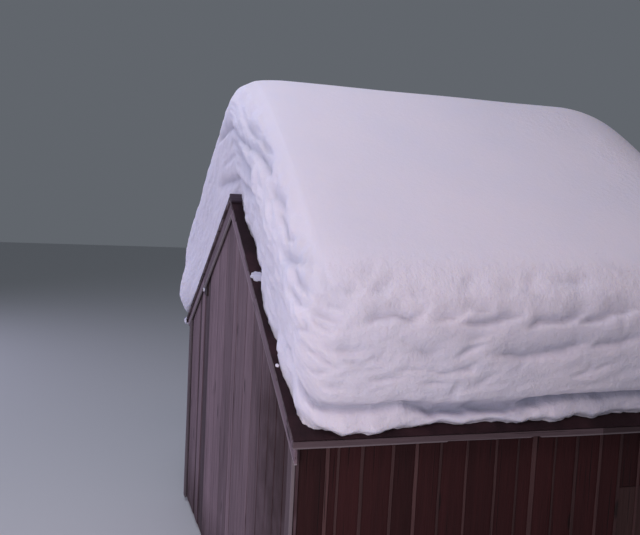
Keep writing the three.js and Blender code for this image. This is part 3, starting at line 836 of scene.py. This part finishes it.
def eave_board(side, hand):
    """Two planks end to end. The first has the uneven lower edge and the lighter tone."""
    top = under_roof(EAVE_HIGH.x, DECK_TOP)
    foot = EAVE_LOW.z
    stop = EAVE_JOINT - BUTT_GAP
    first = [(-HALF_LENGTH, foot)] + [(y, foot + up) for y, up in EAVE_LOWER_EDGE]
    first += [(stop, foot), (stop, top), (-HALF_LENGTH, top)]
    second = rectangle(EAVE_JOINT + BUTT_GAP, HALF_LENGTH, foot + SECOND_PLANK_UP, top)
    thickness = (0.0004, EAVE_HIGH.x - EAVE_LOW.x)
    place = on_flank(side, EAVE_HIGH.x, side)
    boards = Boards()
    for outline, tone in ((first, 0.75), (second, 0.15)):
        boards.add(outline, thickness, place, along=(1, 0), tone=tone, warp=0.0004)
    boards.finish(f"eave_board_{hand}_weathered", SILVERED, "trim_wood", [f"eave_board_{hand}"])


SIDES = ((1, "right"), (-1, "left"))
ENDS = ((-1, "front"), (1, "back"))
for side, hand in SIDES:
    eave_board(side, hand)
    for end, place_name in ENDS:
        corner_board(side, hand, end, place_name)
        for piece in ("upper", "lower"):
            barge_board(side, hand, end, place_name, piece)


# Roof boards, ridge board and covering


def on_slope(side, down, y, depth):
    """The point a way down the slope from the apex and a depth under the roof's surface."""
    x = down * math.cos(SLOPE) - depth * math.sin(SLOPE)
    return side * x, y, APEX - down * math.sin(SLOPE) - depth * math.cos(SLOPE)


def roof_deck(side, hand):
    boards = Boards()
    start = DECK_FOOT * math.tan(SLOPE) + BUTT_GAP
    stop = (DECK_END + DECK_TOP * math.sin(SLOPE)) / math.cos(SLOPE)
    count = round((stop - start) / DECK_BOARD_WIDTH)
    width = (stop - start) / count

    def place(a, b, c):
        return on_slope(side, a, b, DECK_TOP + c)

    for i in range(count):
        near, far = start + width * i, start + width * (i + 1) - DECK_BOARD_GAP
        ends = [HALF_LENGTH - draw.uniform(0, DECK_END_UNEVEN) for _ in range(2)]
        outline = rectangle(near, far, -ends[0], ends[1])
        boards.add(outline, (0, ROOF_BOARD), place, wobble=0.0008, warp=0, step=0.4)
    boards.finish(f"roof_boards_{hand}_deck", DECK_WOOD, "trim_wood", [f"roof_boards_{hand}"])


def ridge_board():
    def place(a, b, c):
        return on_slope(1, a, b, -GAP - c)

    boards = Boards()
    outline = rectangle(BUTT_GAP, RIDGE_BOARD_WIDTH, -HALF_LENGTH, HALF_LENGTH)
    boards.add(outline, (0, RIDGE_BOARD_THICKNESS), place, wobble=0.002, warp=0, chamfer=0.003)
    boards.finish("ridge_board_worn", RIDGE_WOOD, "ridge_wood", ["ridge_board"])


def covering(side, hand):
    """Felt that lies on the deck, slightly rippled, with its edges a little frayed."""
    columns, rows = 60, 200
    stop = HALF_WIDTH / math.cos(SLOPE)
    points = []
    for layer in range(2):
        for i in range(columns + 1):
            for j in range(rows + 1):
                down = FELT_START + (stop - FELT_START) * i / columns
                y = HALF_LENGTH * (2 * j / rows - 1)
                fray = 0.5 + 0.5 * noise.noise(Vector((down * 14, y * 14, side)))
                if i == columns:
                    down -= FELT_FRAY[0] * fray
                if j in (0, rows):
                    y -= math.copysign(FELT_FRAY[1] * fray, y)
                ripple = max(0.0, noise.noise(Vector((down * 3.5, y * 5, side * 3)))) * FELT_RIPPLE
                points.append(on_slope(side, down, y, COVERING if layer else -ripple))
    size = (columns + 1) * (rows + 1)
    spot = np.arange(size).reshape(columns + 1, rows + 1)
    quads = np.stack([spot[:-1, :-1], spot[1:, :-1], spot[1:, 1:], spot[:-1, 1:]], -1).reshape(-1, 4)
    rim = np.concatenate([spot[:-1, 0], spot[-1, :-1], spot[:0:-1, -1], spot[0, :0:-1]])
    after = np.roll(rim, -1)
    sides = np.stack([rim, size + rim, size + after, after], 1)
    faces = np.concatenate([quads, size + quads[:, ::-1], sides]).tolist()
    outward(put(f"roof_covering_{hand}_felt", points, faces, FELT, [f"roof_covering_{hand}"]))


for side, hand in SIDES:
    roof_deck(side, hand)
    covering(side, hand)
ridge_board()


# Beams and posts keep their shape


for name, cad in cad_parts.items():
    if cad.hide_render or name == "roof_snow":
        continue
    if name.startswith(("corner_post", "gable_post")):
        timber = POST_WOOD
    elif name.startswith(("tie_beam", "sill_front", "sill_back")):
        timber = BEAM_ACROSS
    else:
        timber = BEAM_ALONG
    cad.data.materials.clear()
    cad.data.materials.append(timber)


# Snow


def box_lattice(across, along, up):
    """The surface of a box as points (u, v from -1 to 1, w from 0 to 1).

    Its top and sides are four-sided faces. Under it lie two faces that meet on the line u = 0.
    """
    counts = (across, along, up)
    number, spots, faces = {}, [], []

    def corner(spot):
        if spot not in number:
            number[spot] = len(spots)
            spots.append(spot)
        return number[spot]

    for axis, end in ((0, 0), (0, across), (1, 0), (1, along), (2, up)):
        first, second = (axis + 1) % 3, (axis + 2) % 3
        for i in range(counts[first]):
            for j in range(counts[second]):
                quad = []
                for di, dj in ((0, 0), (1, 0), (1, 1), (0, 1)):
                    spot = [0, 0, 0]
                    spot[axis], spot[first], spot[second] = end, i + di, j + dj
                    quad.append(corner(tuple(spot)))
                faces.append(quad if end else quad[::-1])
    undersides = []
    for side in (0, across):
        steps = 1 if side else -1
        walk = [(i, 0, 0) for i in range(across // 2, side + steps, steps)]
        walk += [(side, j, 0) for j in range(1, along)]
        walk += [(i, along, 0) for i in range(side, across // 2 - steps, -steps)]
        walk = [corner(spot) for spot in walk]
        undersides.append(walk[::-1] if side else walk)
    lattice = np.array(spots, float) / counts
    lattice[:, 1] *= 1 - SNOW_CLOSER_IN_FRONT + SNOW_CLOSER_IN_FRONT * lattice[:, 1]
    lattice[:, :2] = lattice[:, :2] * 2 - 1
    return lattice, faces, undersides


def spline(points, share):
    """Points at a share, from 0 to 1, along a smooth curve through the given points."""
    points = np.array(points, float)
    place = (len(points) - 1) * share
    before = np.floor(place).astype(int)
    t = (place - before)[:, None]
    a, b, c, d = (points[np.clip(before + k, 0, len(points) - 1)] for k in (-1, 0, 1, 2))
    away, home = (c - a) / 2, (d - b) / 2
    return (2 * b - 2 * c + away + home) * t**3 + (3 * c - 3 * b - 2 * away - home) * t**2 + away * t + b


def read(line, at):
    """The heights at these places of a line that is given as points."""
    return np.interp(at, *np.array(line).T)


def ramp(value, start, full):
    """Rises from 0 at the start to 1 where it is full."""
    return np.clip((value - start) / (full - start), 0, 1)


def eased(share):
    return share * share * (3 - 2 * share)


def snow_top(x, y):
    ridge = SNOW_RISE * (np.hypot(x, SNOW_RIDGE_ROUNDING) - SNOW_RIDGE_ROUNDING)
    tail = np.maximum(0, (y - SNOW_TAIL_START) / (HALF_LENGTH - SNOW_TAIL_START))
    shoulder = np.maximum(0, (np.abs(y) - HALF_LENGTH + SNOW_SHOULDER) / SNOW_SHOULDER)
    return APEX + SNOW_DEPTH - ridge - SNOW_TAIL_DROP * tail**2 - SNOW_SHOULDER_DROP * shoulder**2


def snow_foot(x):
    return APEX - ROOF_RISE * np.abs(x) + GAP * UPRIGHT


def snow_form(lattice):
    """The snow's broad form. Gives its points, and for each the height over the foot and the way out."""
    u, v, w = lattice.T
    core = 1 - SNOW_RIM_SHARE
    rim_x = np.maximum(0, np.abs(u) - core) / SNOW_RIM_SHARE
    rim_y = np.maximum(0, np.abs(v) - core) / SNOW_RIM_SHARE
    rim = np.maximum(rim_x, rim_y)
    away = np.stack([np.sign(u) * rim_x, np.sign(v) * rim_y], 1)
    away /= np.maximum(np.linalg.norm(away, axis=1), 1e-9)[:, None]
    share = np.where(rim < 1, 1 - (1 - SNOW_SIDE_SHARE) * rim, w * SNOW_SIDE_SHARE)
    sideways = (away[:, 0] ** 2)[:, None]
    profile = spline(SNOW_GABLE_OUTLINE, share) * (1 - sideways)
    profile += spline(SNOW_EAVE_OUTLINE, share) * sideways
    out, height = profile.T
    squared = np.maximum(np.sum(np.abs(away) ** SNOW_CORNER_POWER, 1), 1e-9) ** (-1 / SNOW_CORNER_POWER)
    on_rim = (SNOW_CORNER_ROUNDING + out) * np.where(rim > 0, squared, 1)
    inner_x = HALF_WIDTH - SNOW_EAVE_SETBACK - SNOW_CORNER_ROUNDING
    inner_y = HALF_LENGTH - SNOW_VERGE_SETBACK - SNOW_CORNER_ROUNDING
    x = np.clip(u / core, -1, 1) * inner_x + away[:, 0] * on_rim
    y = np.clip(v / core, -1, 1) * inner_y + away[:, 1] * on_rim

    crest = read(CREST_BACK, x * -np.sign(y)) * eased(ramp(height, *CREST_BACK_HEIGHTS))
    y -= away[:, 1] * rim * crest

    low = rim * np.exp(-((height / FOOT_FADE) ** 2))
    x += away[:, 0] * low * (read(EAVE_FOOT, y * np.sign(x)) - (HALF_WIDTH - SNOW_EAVE_SETBACK))
    y -= away[:, 1] * low * (read(VERGE_FOOT, np.abs(x)) - SNOW_VERGE_SETBACK)

    on_plan = ((np.abs(x) - SLUMP_REACH[0]) / SLUMP_SIZE[0]) ** 2
    on_plan += ((np.abs(y) - SLUMP_REACH[1]) / SLUMP_SIZE[1]) ** 2
    slump = np.exp(-on_plan - ((height - SLUMP_CENTRE) / SLUMP_RISE) ** 2) * (x * y > 0)
    slump *= np.minimum(1, height / SLUMP_FOOT)
    x += np.sign(x) * slump * SLUMP_OVER[0]
    y += np.sign(y) * slump * SLUMP_OVER[1]
    foot = snow_foot(x)
    z = foot + height / SNOW_DEPTH * (snow_top(x, y) - foot)
    return np.stack([x, y, z], 1), height, away, rim


def crease(points, path, below, above):
    """A share, from 0 to 1, of a crease's depth: sharp at its line, easing off both ways and at its tips."""
    path = np.array(path)
    made = np.zeros(len(points))
    reach = 4 * max(below, above)
    near = np.all((points > path.min(0) - reach) & (points < path.max(0) + reach), axis=1)
    nearest = np.full(near.sum(), np.inf)
    along = np.zeros(near.sum())
    lengths = np.linalg.norm(np.diff(path, axis=0), axis=1)
    for k, length in enumerate(lengths):
        span = path[k + 1] - path[k]
        share = np.clip((points[near] - path[k]) @ span / length**2, 0, 1)
        offset = points[near] - path[k] - share[:, None] * span
        upright = offset[:, 2] / np.where(offset[:, 2] < 0, below, above)
        sideways = np.hypot(offset[:, 0], offset[:, 1]) / above
        distance = np.hypot(upright, sideways)
        along = np.where(distance < nearest, lengths[:k].sum() + share * length, along)
        nearest = np.minimum(nearest, distance)
    from_tip = np.minimum(along, lengths.sum() - along)
    tapered = np.clip(CREASE_TIP + (1 - CREASE_TIP) * from_tip / CREASE_TAPER, 0, 1)
    rounded = np.hypot(nearest, CREASE_BOTTOM) - CREASE_BOTTOM
    made[near] = tapered * np.exp(-CREASE_FALL * rounded)
    return made


def deepest(points, creases):
    """How far the snow lies back at each point, from the deepest of several creases."""
    made = []
    for depth, below, above, *path in creases:
        made.append((depth + CREASE_DEEPER) * crease(points, path, below, above))
    return np.max(made, axis=0)


def ledge(place):
    """Layers one over another: each juts out soon over its foot, 0, to its brow, 1, then leans back."""
    share = place - np.floor(place)
    return eased(ramp(share, 0, LEDGE_BROW)) * (1 - ramp(share, LEDGE_BROW, 1) ** 1.5)


def waves(points, size, seed):
    """Smooth noise from -1 to 1 at each point, with features of the given size in metres."""
    shift = Vector((seed, 2.3 * seed, 4.1 * seed))
    return np.array([noise.noise(Vector(p) + shift) for p in points / np.array(size)])


def clods(points, size, seed):
    """Rounded lumps with creases between them, from 0 in a crease to 1 on a lump."""
    shift = Vector((seed, 1.7 * seed, 3.3 * seed))
    made = []
    for p in points / np.array(size):
        near = noise.voronoi(Vector(p) + shift, distance_metric="DISTANCE")[0]
        made.append(min(1.0, (near[1] - near[0]) * 1.9))
    return eased(np.array(made))


def normals_of(points, faces):
    quads = np.array(faces)
    spans = points[quads[:, 2]] - points[quads[:, 0]], points[quads[:, 3]] - points[quads[:, 1]]
    face_normals = np.cross(*spans)
    made = np.zeros_like(points)
    for k in range(4):
        np.add.at(made, quads[:, k], face_normals)
    return made / np.maximum(np.linalg.norm(made, axis=1), 1e-12)[:, None]


def turned(points, sign):
    """The points, turned half round the hut's upright axis where the sign is -1."""
    return points * np.stack([sign, sign, np.ones(len(points))], 1)


def snow_creases(lying, side_share, end_share):
    """How far back the groove and the creases lie, and each point's place along the side's groove.

    The sides that the photograph hides have the same creases, turned half round.
    """
    hand, end = np.sign(lying[:, 0]), np.sign(lying[:, 1])
    wavy = lying.copy()
    wavy[:, 2] += CREASE_WAVE * waves(lying, CREASE_WAVE_SIZE, seed=5)
    on_side = turned(wavy, hand)
    groove = crease(on_side, GROOVE, *GROOVE_REACH) * read(GROOVE_DEPTHS, on_side[:, 1])
    farther = []
    for depth, below, above, *path in SIDE_CREASES:
        farther.append((depth, below, above, *[(x, y + SIDE_REPEAT, up) for x, y, up in path]))
    side_back = np.maximum(groove, deepest(on_side, SIDE_CREASES + farther))
    end_back = deepest(turned(wavy, -end), END_CREASES)
    corner = hand * end < 0
    end_back *= np.where(corner, 1, end_share**2)
    return np.maximum(end_back, side_back * np.where(corner, 1, side_share**2)), on_side[:, 1]


def roof_snow():
    lattice, faces, undersides = box_lattice(*SNOW_STEPS)
    points, height, away, rim = snow_form(lattice)
    base = normals_of(points, faces)
    side_share, end_share = away[:, 0] ** 2, away[:, 1] ** 2
    hand, end = np.sign(points[:, 0]), np.sign(points[:, 1])
    lying = np.stack([points[:, 0], points[:, 1], height], 1)
    back, along_side = snow_creases(lying, side_share, end_share)

    inward_x = (HALF_WIDTH - np.abs(points[:, 0]) - SMOOTH_FROM[0]) / SMOOTH_FADE[0]
    inward_y = (HALF_LENGTH - np.abs(points[:, 1]) - SMOOTH_FROM[1]) / SMOOTH_FADE[1]
    beyond = np.maximum(0, np.minimum(inward_x, inward_y))
    face = np.exp(-(beyond**2)) * ramp(height, 0, LUMPS_FOOT)
    slanted = height - LEDGE_SLANT * points[:, 1] * hand * side_share
    lying[:, 2] = slanted
    warped = lying + LUMP_WARP * np.stack([waves(lying, LUMP_WARP_SIZE, seed) for seed in (9, 13, 17)], 1)
    large = clods(warped, LARGE_LUMP_SIZE, seed=3) * side_share
    large += clods(warped, END_LUMP_SIZE, seed=3) * (1 - side_share)
    small = clods(warped, SMALL_LUMP_SIZE, seed=7)
    fine = waves(lying, FINE_LUMP_SIZE, seed=21)
    broad = waves(lying, BROAD_LUMP_SIZE, seed=25)
    lumps = FINE_LUMP * fine + LARGE_LUMP * (large - LUMP_MEAN) + SMALL_LUMP * (small - LUMP_MEAN)
    layers = ledge(slanted / LEDGE_PITCH + LEDGE_WAVE * waves(lying, LEDGE_WAVE_SIZE, seed=41))
    strength = np.clip(0.15 + 2.2 * waves(lying, LEDGE_PLACES, seed=43), 0, 1)
    strength *= LEDGE_ON_END + (1 - LEDGE_ON_END) * side_share
    calm = np.maximum(CALM, ramp(points[:, 0] * -end, *CALM_ACROSS)) * end_share + CALM * (1 - end_share)
    lumps *= np.maximum(end_share, ramp(height, *LUMPS_END))
    lumps += LEDGE_DEPTH * strength * (layers - 0.5)
    out = face * (calm * lumps + BROAD_LUMP * broad) - back * ramp(height, 0, CREASE_FOOT)
    out += TOP_HOLLOW * (broad - 1) * (1 - face) * (height > 0)
    points = points + base * out[:, None]
    ragged = sum(reach * waves(lying, size, seed) for reach, size, seed in RAGGED)
    ragged *= np.exp(-((height / RAGGED_HEIGHT) ** 2)) * rim
    shift = away * ragged[:, None]
    points[:, :2] += shift
    points[:, 2] -= ROOF_RISE * shift[:, 0] * hand

    on_roof = (height > 0) & (np.abs(points[:, 0]) < HALF_WIDTH) & (np.abs(points[:, 1]) < HALF_LENGTH)
    lowest = snow_foot(points[on_roof, 0]) + SNOW_OVER_ROOF
    points[on_roof, 2] = np.maximum(points[on_roof, 2], lowest)

    # Painted shade on the lip under the groove, which the snow above overhangs
    lip = ramp(along_side, *LIP_PAINTED_SHADE_ALONG) * side_share
    lip *= LIP_PAINTED_SHADE * np.exp(-((height / LIP_HEIGHT) ** 4)) * (0.75 + 0.5 * fine)
    # Painted shade on the lower part of each ledge
    shaded = LEDGE_PAINTED_SHADE * face * strength * (LEDGE_PAINTED_SHADE_PART - layers)
    pitted = np.clip(3 * waves(points, PITTED_SIZE, seed=51) + 0.6, 0, 1)
    pitted *= PITTED * ramp(points[:, 1], *PITTED_ALONG)
    # Painted shade, in full at a crease's given depth, with the lip's and the ledges' added
    attributes = {
        "painted_shade": np.clip(back / PAINTED_SHADE_DEPTH + lip + shaded, 0, 1),
        "smooth": 1 - np.maximum(face, pitted),
    }
    faces += undersides
    put("roof_snow_blanket", points.tolist(), faces, SNOW, ["roof_snow"], attributes, math.pi)


def snow_scrap(name, centre, size, tilt, seed, painted_shade_amount=0.0):
    """A small lump of snow, rounded and uneven, with painted shade over it where asked."""
    work = bmesh.new()
    bmesh.ops.create_icosphere(work, subdivisions=4, radius=1)
    turn = Matrix.Rotation(tilt, 3, "Y")
    for v in work.verts:
        swell = 1 + 0.28 * noise.noise(v.co * 1.7 + Vector((seed, 0, 0)))
        swell += 0.1 * noise.noise(v.co * 5 + Vector((0, seed, 0)))
        v.co = turn @ Vector([a * b * swell for a, b in zip(v.co, size)]) + Vector(centre)
    points = [tuple(v.co) for v in work.verts]
    faces = [[v.index for v in f.verts] for f in work.faces]
    work.free()
    none = np.zeros(len(points))
    # Painted shade over the whole lump, darker and bluer
    put(name, points, faces, SNOW, (), {"painted_shade": none + painted_shade_amount, "smooth": none}, math.pi)


def on_covering(x, y):
    """A point just over the covering."""
    return x, y, APEX - ROOF_RISE * abs(x) + 0.001


roof_snow()
# The large lump on the verge gets painted shade
snow_scrap(
    "snow_scrap_verge_large", on_covering(0.87, -1.752), (0.052, 0.046, 0.01), SLOPE, 1.0, painted_shade_amount=0.4,
)
snow_scrap("snow_scrap_verge_small", on_covering(1.605, -1.778), (0.014, 0.012, 0.006), SLOPE, 4.0)
snow_scrap("snow_scrap_purlin", (-1.208, -1.768, 2.312), (0.034, 0.009, 0.019), -SLOPE, 7.0)
snow_scrap("snow_scrap_eave_corner", (-2.115, -1.784, 1.868), (0.038, 0.03, 0.04), 0, 9.0)


# Floor, light and camera


FLOOR_REACH = 40.0


def floor():
    mesh = bpy.data.meshes.new("floor")
    corners = rectangle(-FLOOR_REACH, FLOOR_REACH, -FLOOR_REACH, FLOOR_REACH)
    mesh.from_pydata([(x, y, 0) for x, y in corners], [], [(0, 1, 2, 3)])
    material, tree, surface = new_material("studio_floor")
    feed(tree, surface, {"Base Color": (0.66, 0.66, 0.67), "Roughness": 0.9, "Specular IOR Level": 0.1})
    mesh.materials.append(material)
    made = new_object("floor", mesh)


def studio_light(name, place, target, size, power, colour):
    data = bpy.data.lights.new(name, "AREA")
    data.shape = "DISK"
    data.size = size
    data.energy = power
    data.color = colour
    made = new_object(name, data)
    made.location = place
    made.rotation_mode = "QUATERNION"
    made.rotation_quaternion = (Vector(target) - Vector(place)).to_track_quat("-Z", "Y")


def backdrop(colour, strength):
    world = bpy.data.worlds.new("studio")
    world.use_nodes = True
    shade = world.node_tree.nodes["Background"]
    feed(world.node_tree, shade, {"Color": colour, "Strength": strength})
    bpy.context.scene.world = world


# The photograph was taken from the front right, just above the height of the eaves
CAMERA_PLACE = (6.0724, -2.9572, 3.1988)
CAMERA_YAW = 1.264257
CAMERA_PITCH = -0.086169
CAMERA_ROLL = 0.050939
LENS = 44.4375
SENSOR = 36.0


def camera():
    ahead = Vector((
        -math.sin(CAMERA_YAW) * math.cos(CAMERA_PITCH),
        math.cos(CAMERA_YAW) * math.cos(CAMERA_PITCH),
        math.sin(CAMERA_PITCH),
    ))
    level = ahead.cross(Vector((0, 0, 1))).normalized()
    upright = level.cross(ahead)
    right = math.cos(CAMERA_ROLL) * level + math.sin(CAMERA_ROLL) * upright
    up = -math.sin(CAMERA_ROLL) * level + math.cos(CAMERA_ROLL) * upright
    data = bpy.data.cameras.new("camera")
    data.sensor_fit = "HORIZONTAL"
    data.sensor_width = SENSOR
    data.lens = LENS
    data.clip_end = 200
    made = new_object("camera", data)
    turn = Matrix((right, up, -ahead)).transposed().to_4x4()
    made.matrix_world = Matrix.Translation(CAMERA_PLACE) @ turn
    bpy.context.scene.camera = made


floor()
backdrop((0.91, 1.0, 1.14), 0.132)
studio_light("light_over", (0.5, -3.5, 8.5), (0.3, -0.5, 2.5), 5.0, 164, (0.95, 1.0, 1.17))
studio_light("light_near", (4.5, -3.2, 2.2), (1.8, -1.4, 2.3), 2.0, 44, (1.06, 1.0, 1.09))
studio_light("light_high", (5.5, -1.0, 7.5), (1.2, -0.8, 2.6), 4.0, 82, (1.21, 1.0, 1.02))
studio_light("light_left", (-9.0, -13.0, 4.2), (-0.5, -1.0, 2.3), 8.0, 641, (1.01, 1.0, 1.36))
camera()
bpy.context.scene.view_settings.view_transform = "Standard"
